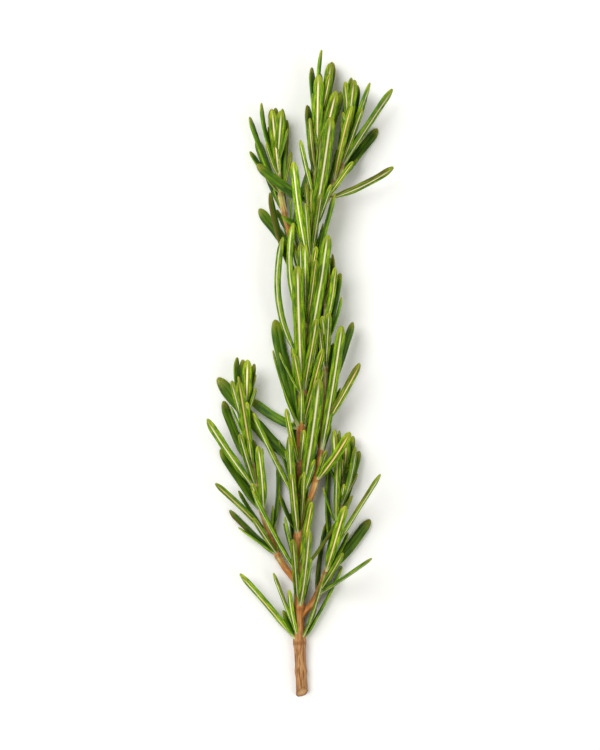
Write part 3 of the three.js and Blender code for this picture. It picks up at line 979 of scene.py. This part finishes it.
def stem_points(shoot, shares, angles, radius):
    """Points on the stem. Below share 0 it runs straight back into the stem that bears it."""
    flat = shares.reshape(-1)
    centres, along, side, up = shoot.frames(np.clip(flat, 0, 1))
    centres = centres + along * (np.minimum(flat, 0) * shoot.length)[:, None]
    turn = angles.reshape(-1)[:, None]
    points = centres + (side * np.cos(turn) + up * np.sin(turn)) * radius.reshape(-1)[:, None]
    points[:, 2] = np.maximum(points[:, 2], 0)
    return points


def cut_shares(shoot, angles, fibre_depth):
    """Where the slanted cut crosses each line along the bark."""
    trial = np.linspace(0, CUT_REACH, CUT_TRIALS)
    shares, turns = np.meshgrid(trial, angles, indexing="ij")
    points = stem_points(shoot, shares, turns, stem_radius(shoot, shares, turns, fibre_depth))
    away = (points - [0, CUT_SETBACK, STEM_PATH[0][2]]) @ unit(np.array(CUT_NORMAL, float))
    return trial[(away.reshape(shares.shape) > 0).sum(axis=0)]


def add_cut_face(parts, rim, first):
    """The cut end: a rim of bark, paler wood with fine rays and a small sunken pith."""
    normal = unit(np.array(CUT_NORMAL, float))
    middle = rim.mean(axis=0)
    sides = len(rim)
    inward, depth = np.array(CUT_RINGS, float).T
    rays = CUT_FIBRE_DEPTH * np.cos(round_turns(sides) * CUT_FIBRES)
    depth = depth[:, None] + rays * (inward < CUT_WOOD)[:, None]
    rings = middle + (rim - middle) * inward[:, None, None] - normal * depth[..., None]
    points = np.vstack([rings.reshape(-1, 3), rings[-1].mean(axis=0)])
    points[:, 2] = np.maximum(points[:, 2], 0)
    base = parts.count
    ring = np.arange(sides)
    last = base + rings.shape[0] * sides
    faces = [
        band_faces(first + ring, base + ring),
        tube_faces(len(inward), sides, base)[:, ::-1],
        fan_faces(last - sides + ring, last, True),
    ]
    state = np.vstack([stack_marks(depth.shape, 1, inward[:, None], 0).reshape(-1, 3), [1, 0, 0]])
    parts.add(points, faces, state=state, grain=points, place=np.zeros_like(points))


def add_stem(parts, shoot, sides, fibre_depth):
    """One stem, from its cut or its foot to a rounded end inside the bud."""
    start = -shoot.bridge / shoot.length
    rows = math.ceil((1 - start) * shoot.length / STEM_STEP) + 1
    height = np.linspace(start, 1, rows)
    angles = -round_turns(sides)
    shares = np.broadcast_to(height[:, None], (rows, sides))
    turns = np.broadcast_to(angles, shares.shape)
    if shoot.start:
        cut = cut_shares(shoot, angles, fibre_depth)
        shares = shares + cut * np.maximum(1 - height / CUT_BLEND, 0)[:, None]
    closing = np.sqrt(np.clip((1 - height) * shoot.length / TIP_ROUNDING + TIP_LEAST, 0, 1))
    radius = stem_radius(shoot, shares, turns, fibre_depth) * closing[:, None]
    points = stem_points(shoot, shares, turns, radius)
    rings = points.reshape(rows, sides, 3)
    ends = [rings[0].mean(axis=0), rings[-1].mean(axis=0)]
    first = parts.count
    last = first + rows * sides
    ring = np.arange(sides)
    faces = [tube_faces(rows, sides, first), fan_faces(last - sides + ring, last + 1, False)]
    if shoot.start == 0:
        faces.append(fan_faces(first + ring, last, True))
    youth = shares if shoot.start else mix(SIDE_AGE, 1, np.clip(shares, 0, 1))
    cushion = cushions(shoot, shares, turns) / CUSHION_HEIGHT
    parts.add(
        np.vstack([points, ends]),
        faces,
        state=with_ends(stack_marks(shares.shape, 0, 1, bareness(shoot, shares))),
        place=with_ends(stack_marks(shares.shape, swelling(shoot, shares), youth, cushion)),
        grain=with_ends(stem_grain(shoot, shares, turns)),
    )
    if shoot.start:
        add_cut_face(parts, rings[0], first)


def make_stem(name, shoot, sides, material, fibre_depth):
    parts = MeshParts()
    add_stem(parts, shoot, sides, fibre_depth)
    return parts.make(name, material)


# Shape of the felt

def add_hairs(parts, roots, ways, lengths, width):
    """Fine pointed hairs, each a closed spike that stands in what it grows on."""
    ways = unit(ways)
    side = unit(np.cross(ways, UP + OFF_UPRIGHT))
    other = np.cross(ways, side)
    corners = [
        roots - ways * FELT_SINK + (side * math.cos(turn) + other * math.sin(turn)) * width / 2
        for turn in round_turns(FELT_SIDES)
    ]
    points = np.stack([*corners, roots + ways * lengths[:, None]], axis=1)
    first = parts.count + np.arange(len(roots))[:, None] * (FELT_SIDES + 1)
    faces = [first + np.array(face) for face in FELT_FACES]
    parts.add(points.reshape(-1, 3), faces)


def strays(random, count):
    """Random values from -1 to 1."""
    return 2 * random.random(count) - 1


def stem_hairs(parts, shoot, felt, random):
    count = int(felt.stem_hairs * shoot.length)
    shares = mix(max(FELT_FROM, shoot.start) if shoot.start else 0, 1, random.random(count))
    angles = random.random(count) * FULL_TURN
    radius = stem_radius(shoot, shares, angles, 0)
    roots = stem_points(shoot, shares, angles, radius)
    centres, along, _, _ = shoot.frames(shares)
    lean = along * (random.random(count) * FELT_LEAN)[:, None]
    lengths = felt.length / MM * (1 + FELT_STRAY_LENGTH * strays(random, count))
    add_hairs(parts, roots, unit(roots - centres) + lean, lengths, felt.width / MM)


def leaf_hairs(parts, leaf, felt, random):
    count = int(felt.leaf_hairs * leaf.length)
    shares = mix(*FELT_LEAF_SHARES, random.random(count))
    centres, across, under, half_width, half_thickness = leaf.frames(shares)
    side = strays(random, count) * FELT_LEAF_REACH
    roots = centres + across * (side * half_width)[:, None]
    roots = roots + under * (FELT_LEAF_DEPTH * half_thickness)[:, None]
    ways = under + across * strays(random, count)[:, None] * FELT_LEAN
    size = FELT_LEAF_SHORTEST + random.random(count)
    lengths = felt.length / MM * FELT_LEAF_LENGTH * size
    add_hairs(parts, roots, ways, lengths, felt.width / MM)


def make_felt(name, material, felt):
    parts = MeshParts()
    random = np.random.default_rng(FELT_SEED)
    shoots, leaves = plan_sprig()
    for shoot in shoots:
        stem_hairs(parts, shoot, felt, random)
    for leaf in leaves:
        leaf_hairs(parts, leaf, felt, random)
    return parts.make(name, material)


# Paints

def tint(red, green, blue):
    """A colour as read from a screen, from 0 to 255, as Blender's own values."""
    return (*Color((red / 255, green / 255, blue / 255)).from_srgb_to_scene_linear(), 1)


class Paint:
    """A material mixed step by step from marks in the mesh and from noise."""

    MIX_SHARE, MIX_FIRST, MIX_SECOND, MIX_RESULT = 0, 6, 7, 2

    def __init__(self, name, **finish):
        self.material = bpy.data.materials.new(name)
        self.material.use_nodes = True
        self.nodes = self.material.node_tree.nodes
        self.links = self.material.node_tree.links
        self.surface = self.nodes["Principled BSDF"]
        for socket, value in finish.items():
            self.surface.inputs[socket.replace("_", " ")].default_value = value

    def put(self, socket, value):
        if isinstance(value, bpy.types.NodeSocket):
            self.links.new(value, socket)
        else:
            socket.default_value = value

    def node(self, kind, values=(), **settings):
        node = self.nodes.new(kind)
        for name, value in settings.items():
            setattr(node, name, value)
        for place, value in dict(values).items():
            self.put(node.inputs[place], value)
        return node

    def vector(self, name):
        return self.node("ShaderNodeAttribute", attribute_name=name).outputs["Vector"]

    def marks(self, name):
        return tuple(self.node("ShaderNodeSeparateXYZ", {0: self.vector(name)}).outputs)

    def stretched(self, place, along):
        values = {0: place, 1: (1, 1, along)}
        return self.node("ShaderNodeVectorMath", values, operation="MULTIPLY").outputs[0]

    def noise(self, place, scale, detail=PLAIN_DETAIL):
        values = {"Vector": place, "Scale": scale, "Detail": detail}
        return self.node("ShaderNodeTexNoise", values).outputs["Fac"]

    def step(self, value, low, high, start=0, end=1):
        """Rises smoothly from start to end while the value goes from low to high."""
        values = {"Value": value, 1: low, 2: high, 3: start, 4: end}
        kind = "ShaderNodeMapRange"
        return self.node(kind, values, interpolation_type="SMOOTHSTEP").outputs[0]

    def sum(self, operation, first, second):
        return self.node("ShaderNodeMath", {0: first, 1: second}, operation=operation).outputs[0]

    def plus(self, first, second):
        return self.sum("ADD", first, second)

    def times(self, first, second):
        return self.sum("MULTIPLY", first, second)

    def blend(self, share, first, second):
        values = {self.MIX_SHARE: share, self.MIX_FIRST: first, self.MIX_SECOND: second}
        return self.node("ShaderNodeMix", values, data_type="RGBA").outputs[self.MIX_RESULT]

    def coat(self, under, over, value, edge):
        """Lays one colour over another where a value is past an edge."""
        return self.blend(self.step(value, *edge), under, over)

    def shade(self, colour, value):
        return self.node("ShaderNodeHueSaturation", {"Value": value, "Color": colour}).outputs[0]

    def bump(self, height, depth):
        values = {"Height": height, "Distance": depth * MM, "Strength": 1}
        return self.node("ShaderNodeBump", values).outputs[0]

    def finish(self, colour, roughness, normal):
        self.put(self.surface.inputs["Base Color"], colour)
        self.put(self.surface.inputs["Roughness"], roughness)
        self.put(self.surface.inputs["Normal"], normal)
        return self.material


def leaf_paint(look):
    """Bright rolled undersides with a cream midrib, and deeper, glossier upper sides with painted
    shade in their furrow.
    """
    paint = Paint(
        "rosemary_leaf",
        Specular_IOR_Level=look.gloss,
        Subsurface_Weight=0.12,
        Subsurface_Scale=0.0006,
        Subsurface_Radius=(0.4, 1.0, 0.15),
        Sheen_Weight=0.04,
        Sheen_Roughness=0.5,
    )
    underside, rib, groove = paint.marks("face")
    across, along, tip = paint.marks("place")
    tone, age, warmth = paint.marks("looks")
    grain = paint.vector("grain")
    clouds = paint.noise(paint.stretched(grain, CLOUD_STRETCH), CLOUDS)
    streaks = paint.noise(paint.stretched(grain, STREAK_STRETCH), STREAKS, FINE_DETAIL)
    pores = paint.noise(grain, PORES, FINE_DETAIL)
    pimples = paint.noise(grain, PIMPLES)
    sideways = paint.sum("ABSOLUTE", across, 0)
    upper = paint.coat(look.upper_deep, look.upper_light, clouds, UPPER_LIGHT)
    upper = paint.coat(upper, look.upper_light, streaks, UPPER_STREAKS)
    # Painted shade: the deep green darkens the sunken furrow along the middle of the upper side
    upper = paint.coat(upper, look.upper_deep, sideways, PAINTED_FURROW_SHADE)
    roll = paint.coat(look.under_deep, look.under_light, streaks, MARGIN_LIGHT)
    roll = paint.coat(roll, look.under_deep, pores, MARGIN_PORES)
    colour = paint.blend(underside, upper, roll)
    rust = paint.step(paint.plus(pores, paint.times(age, RUST_BY_AGE)), *RUST)
    colour = paint.blend(paint.times(groove, rust), colour, look.groove)
    cream = paint.coat(look.rib, look.rib_warm, paint.plus(warmth, clouds), RIB_AGEING)
    foot = paint.times(paint.step(along, *PALE_FOOT), PALE_FOOT_SHARE)
    colour = paint.blend(foot, colour, look.rib)
    colour = paint.blend(rib, colour, cream)
    rim = paint.times(tip, paint.step(pores, *OCHRE_TIP))
    colour = paint.blend(rim, colour, look.tip)
    margin = paint.times(paint.step(sideways, *OUTER_MARGIN), WORN_BY_MARGIN)
    worn = paint.plus(paint.times(age, WORN_BY_AGE), margin)
    worn = paint.plus(worn, paint.times(clouds, WORN_BY_CLOUDS))
    colour = paint.coat(colour, look.worn, worn, WORN)
    colour = paint.shade(colour, paint.step(tone, *TONES))
    roughness = paint.step(underside, 0, 1, look.roughness, MARGIN_ROUGHNESS)
    height = paint.plus(paint.times(pores, PORE_HEIGHT), streaks)
    height = paint.plus(paint.times(pimples, PIMPLE_HEIGHT), height)
    return paint.finish(colour, roughness, paint.bump(height, look.wrinkle / MM))


def bark_paint(look):
    """Greyish tan at the base, orange-brown higher up and pale green near the tips."""
    paint = Paint("rosemary_bark", Specular_IOR_Level=0.35, Sheen_Weight=0.08, Sheen_Roughness=0.6)
    cut, ring, bare = paint.marks("state")
    node, rise, cushion = paint.marks("place")
    grain = paint.vector("grain")
    patches = paint.noise(paint.stretched(grain, PATCH_STRETCH), PATCHES)
    fibre = paint.noise(paint.stretched(grain, FIBRE_STRETCH), FIBRES, FIBRE_DETAIL)
    thread = paint.noise(paint.stretched(grain, THREAD_STRETCH), THREADS, FINE_DETAIL)
    brown = paint.coat(look.bark_warm, look.bark_rosy, patches, ROSY_PATCHES)
    brown = paint.coat(brown, look.bark_dark, fibre, DARK_FIBRES)
    brown = paint.coat(brown, look.bark_dark, thread, DARK_THREADS)
    brown = paint.coat(brown, look.bark_pale, thread, PALE_THREADS)
    green = paint.coat(look.young, look.young_green, fibre, GREEN_FIBRES)
    ripeness = paint.plus(rise, paint.times(patches, RIPE_BY_PATCHES))
    ripeness = paint.plus(ripeness, paint.times(cushion, RIPE_BY_CUSHIONS))
    colour = paint.coat(brown, green, ripeness, RIPENESS)
    old = paint.coat(look.bark_old, look.bark_dark, fibre, OLD_FIBRES)
    old = paint.coat(old, look.bark_pale, thread, OLD_THREADS)
    colour = paint.blend(paint.times(bare, OLD_SHARE), colour, old)
    colour = paint.coat(colour, look.bark_dark, node, DARK_NODES)
    wood = paint.coat(look.wood, look.wood_deep, ring, WOOD_RINGS)
    wood = paint.coat(wood, look.wood_deep, paint.noise(grain, WOOD_SPECKS), DARK_SPECKS)
    wood = paint.coat(wood, look.bark_dark, ring, WOOD_RIM)
    wood = paint.coat(wood, look.young, ring, PITH)
    colour = paint.blend(cut, colour, wood)
    roughness = paint.step(bare, 0, 1, YOUNG_BARK_ROUGHNESS, OLD_BARK_ROUGHNESS)
    height = paint.plus(fibre, paint.times(thread, THREAD_HEIGHT))
    return paint.finish(colour, roughness, paint.bump(height, look.fibre_depth / MM))


def felt_paint(look):
    """Dull silvery hairs, slightly warmer in places."""
    paint = Paint("rosemary_felt", Specular_IOR_Level=0.2, Subsurface_Weight=0.1)
    place = paint.node("ShaderNodeTexCoord").outputs["Object"]
    colour = paint.coat(look.pale, look.warm, paint.noise(place, FELT_PATCHES), WARM_HAIRS)
    grain = paint.noise(place, FELT_GRAIN)
    return paint.finish(colour, DULL, paint.bump(grain, FELT_GRAIN_DEPTH))


def floor_paint(stage):
    """A plain pale floor, very slightly clouded."""
    paint = Paint("pale_floor", Specular_IOR_Level=0.2)
    place = paint.node("ShaderNodeTexCoord").outputs["Object"]
    clouds = paint.noise(place, FLOOR_CLOUDS)
    colour = paint.coat(stage.floor, stage.floor_shade, clouds, FLOOR_SHADING)
    grain = paint.noise(place, FLOOR_GRAIN)
    return paint.finish(colour, DULL, paint.bump(grain, FLOOR_GRAIN_DEPTH))


# Stage

def place_camera(stage):
    data = bpy.data.cameras.new("sprig_camera")
    data.lens = LENS
    data.sensor_width = SENSOR_SIZE
    data.clip_start = CLIP_START
    camera = add_object("sprig_camera", data)
    height = (BOX_HIGH[1] - BOX_LOW[1]) / stage.filled * LENS / SENSOR_SIZE
    camera.location = (BOX_LOW + BOX_HIGH) / 2 + UP * height
    bpy.context.scene.camera = camera


def lay_floor(stage):
    mesh = bpy.data.meshes.new("floor")
    builder = bmesh.new()
    squares = {"x_segments": FLOOR_SQUARES, "y_segments": FLOOR_SQUARES}
    bmesh.ops.create_grid(builder, size=FLOOR_SIZE / 2, **squares)
    bmesh.ops.translate(builder, verts=builder.verts, vec=(0, 0, -FLOOR_DEPTH))
    builder.to_mesh(mesh)
    builder.free()
    mesh.materials.append(floor_paint(stage))
    add_object("floor", mesh)


def hang_lamps(stage):
    for number, (place, share) in enumerate(LAMP_PLACES):
        data = bpy.data.lights.new(f"soft_lamp_{number + 1}", "AREA")
        data.shape = "DISK"
        data.size = LAMP_SIZE
        data.energy = stage.lamp_power * share
        lamp = add_object(data.name, data)
        lamp.location = place
        lamp.rotation_euler = (-Vector(place)).to_track_quat("-Z", "Y").to_euler()


def light_room(stage):
    world = bpy.data.worlds.new("pale_room")
    world.use_nodes = True
    background = world.node_tree.nodes["Background"]
    background.inputs["Color"].default_value = stage.room
    background.inputs["Strength"].default_value = stage.room_light
    bpy.context.scene.world = world
    bpy.context.scene.view_settings.view_transform = "Standard"


# What a user can change

def colour_choice(name, description, *default):
    return FloatVectorProperty(
        name=name, description=description, subtype="COLOR", size=4, min=0, max=1,
        default=tint(*default),
    )


def amount_choice(name, description, default, **limits):
    return FloatProperty(name=name, description=description, default=default, min=0, **limits)


def length_choice(name, description, default):
    return amount_choice(name, description, default, unit="LENGTH", precision=6)


class SprigLeafLook(PropertyGroup):
    upper_deep: colour_choice("Upper side, deep", "Darkest green of the upper side", 42, 76, 2)
    upper_light: colour_choice("Upper side, light", "Lightest green of the upper side", 92, 128, 4)
    under_deep: colour_choice("Margin, deep", "Darker green of the rolled margins", 68, 114, 0)
    under_light: colour_choice("Margin, light", "Lighter green of the rolled margins", 150, 186, 8)
    rib: colour_choice("Midrib", "Cream of the midrib under a leaf", 238, 238, 188)
    rib_warm: colour_choice("Midrib, warm", "Tan of an older midrib", 232, 210, 132)
    groove: colour_choice("Groove", "Rusty brown beside the midrib", 158, 92, 30)
    tip: colour_choice("Tip", "Ochre of the blunt tip", 178, 172, 50)
    worn: colour_choice("Worn", "Brown of an old leaf's margin", 92, 58, 20)
    gloss: amount_choice("Gloss", "Strength of the shine", 0.19, max=1)
    roughness: amount_choice("Roughness", "Roughness of the upper side", 0.42, max=1)
    wrinkle: length_choice("Wrinkle depth", "Depth of the fine wrinkles", 0.00005)
    wave: amount_choice("Waviness", "Part of its width by which a margin strays", 0.1, max=0.5)


class SprigBarkLook(PropertyGroup):
    bark_warm: colour_choice("Bark, orange", "Orange-brown bark of the leafy stem", 192, 116, 32)
    bark_rosy: colour_choice("Bark, rosy", "Rosy tan bark of the leafy stem", 206, 146, 78)
    bark_dark: colour_choice("Bark, dark", "Dark fibres and nodes", 118, 70, 26)
    bark_old: colour_choice("Base", "Greyish tan of the woody base", 188, 140, 86)
    bark_pale: colour_choice("Base, pale", "Pale threads of the woody base", 222, 186, 140)
    young: colour_choice("Young stem", "Cream of the young stem", 224, 208, 138)
    young_green: colour_choice("Young stem, green", "Green tinge of the young stem", 164, 178, 72)
    wood: colour_choice("Cut wood", "Fresh wood of the cut end", 216, 168, 116)
    wood_deep: colour_choice("Cut wood, deep", "Darker rays of the cut end", 186, 128, 66)
    fibre_depth: length_choice("Fibre depth", "Depth of the bark's fibres", 0.00007)


class SprigFeltLook(PropertyGroup):
    pale: colour_choice("Hair", "Silvery hairs", 232, 232, 214)
    warm: colour_choice("Hair, warm", "Warmer hairs", 220, 208, 168)
    length: length_choice("Length", "Length of a hair on a stem", 0.0004)
    width: length_choice("Width", "Width of a hair at its root", 0.00003)
    stem_hairs: amount_choice("Hairs on stems", "Hairs for each millimetre of a stem", 18)
    leaf_hairs: amount_choice("Hairs on leaves", "Hairs for each millimetre of a leaf", 2)


class SprigStage(PropertyGroup):
    floor: colour_choice("Floor", "Colour of the floor", 250, 250, 248)
    floor_shade: colour_choice("Floor shade", "Second colour of the floor", 232, 232, 228)
    room: colour_choice("Room", "Colour of the light from all round", 255, 252, 245)
    room_light: amount_choice("Room light", "Strength of the light from all round", 0.37)
    lamp_power: amount_choice("Lamp power", "Power of the main lamp", 7.6, unit="POWER")
    filled: FloatProperty(
        name="Frame filled", description="Part of the frame's height that the sprig fills",
        default=0.87, min=0.1, max=1,
    )


# Steps of the making

class SPRIG_OT_stage(Operator):
    """Places the camera above the sprig, lays a pale floor and lights it softly"""

    bl_idname = "sprig.stage"
    bl_label = "Set the Stage"

    def execute(self, context):
        stage = context.scene.sprig_stage
        place_camera(stage)
        lay_floor(stage)
        hang_lamps(stage)
        light_room(stage)
        return {"FINISHED"}


class SPRIG_OT_main_stem(Operator):
    """Grows the main stem from its slanted cut through the woody base to the growing tip"""

    bl_idname = "sprig.main_stem"
    bl_label = "Grow the Main Stem"

    def execute(self, context):
        look = context.scene.sprig_bark
        shoot = plan_sprig()[0][0]
        depth = look.fibre_depth / MM
        piece = make_stem("main_stem", shoot, MAIN_STEM_SIDES, bark_paint(look), depth)
        settle_piece(piece, "bark", "woody_base", "leafy_stem")
        return {"FINISHED"}


class SPRIG_OT_main_leaves(Operator):
    """Grows the pairs, tufts and closed bud of leaves on the main stem"""

    bl_idname = "sprig.main_leaves"
    bl_label = "Grow the Main Leaves"

    def execute(self, context):
        look = context.scene.sprig_leaf
        shoot = plan_sprig()[0][0]
        draw = Draw(LOOKS_SEED)
        piece = make_leaves("main_leaves", shoot, leaf_paint(look), look.wave, draw)
        settle_piece(piece, "leaf", "leafy_stem")
        return {"FINISHED"}


class SPRIG_OT_side_shoots(Operator):
    """Grows the five side shoots out of the main stem, each with its own leaves"""

    bl_idname = "sprig.side_shoots"
    bl_label = "Grow the Side Shoots"

    def execute(self, context):
        leaf_look, bark_look = context.scene.sprig_leaf, context.scene.sprig_bark
        leaf_material = leaf_paint(leaf_look)
        bark_material = bark_paint(bark_look)
        depth = bark_look.fibre_depth / MM
        for number, shoot in enumerate(plan_sprig()[0][1:]):
            stem = make_stem(f"{shoot.name}_stem", shoot, SIDE_STEM_SIDES, bark_material, depth)
            settle_piece(stem, "bark", shoot.name)
            draw = Draw(LOOKS_SEED + number + 1)
            leaves = make_leaves(f"{shoot.name}_leaves", shoot, leaf_material, leaf_look.wave, draw)
            settle_piece(leaves, "leaf", shoot.name)
        return {"FINISHED"}


class SPRIG_OT_felt(Operator):
    """Sets the fine hairs of the young stems and of the grooves under the leaves"""

    bl_idname = "sprig.felt"
    bl_label = "Set the Felt"

    def execute(self, context):
        look = context.scene.sprig_felt
        piece = make_felt("felt", felt_paint(look), look)
        settle_piece(piece, "leaf")
        return {"FINISHED"}


STEPS = (
    SPRIG_OT_stage,
    SPRIG_OT_main_stem,
    SPRIG_OT_main_leaves,
    SPRIG_OT_side_shoots,
    SPRIG_OT_felt,
)
LOOKS = {
    "sprig_stage": SprigStage,
    "sprig_leaf": SprigLeafLook,
    "sprig_bark": SprigBarkLook,
    "sprig_felt": SprigFeltLook,
}


class SPRIG_PT_panel(Panel):
    """Lists the steps of the making and what a user can change"""

    bl_idname = "SPRIG_PT_panel"
    bl_label = "Rosemary Sprig"
    bl_space_type = "VIEW_3D"
    bl_region_type = "UI"
    bl_category = "Sprig"

    def draw(self, context):
        for step in STEPS:
            self.layout.operator(step.bl_idname)
        for name, look in LOOKS.items():
            box = self.layout.box()
            settings = getattr(context.scene, name)
            for choice in look.__annotations__:
                box.prop(settings, choice)


def register():
    for name, look in LOOKS.items():
        bpy.utils.register_class(look)
        setattr(bpy.types.Scene, name, PointerProperty(type=look))
    for part in (*STEPS, SPRIG_PT_panel):
        bpy.utils.register_class(part)


def unregister():
    for part in reversed((*STEPS, SPRIG_PT_panel)):
        bpy.utils.unregister_class(part)
    for name, look in LOOKS.items():
        delattr(bpy.types.Scene, name)
        bpy.utils.unregister_class(look)


def main():
    register()
    bpy.ops.sprig.stage()
    bpy.ops.sprig.main_stem()
    bpy.ops.sprig.main_leaves()
    bpy.ops.sprig.side_shoots()
    bpy.ops.sprig.felt()
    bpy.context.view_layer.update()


if __name__ == "__main__":
    main()
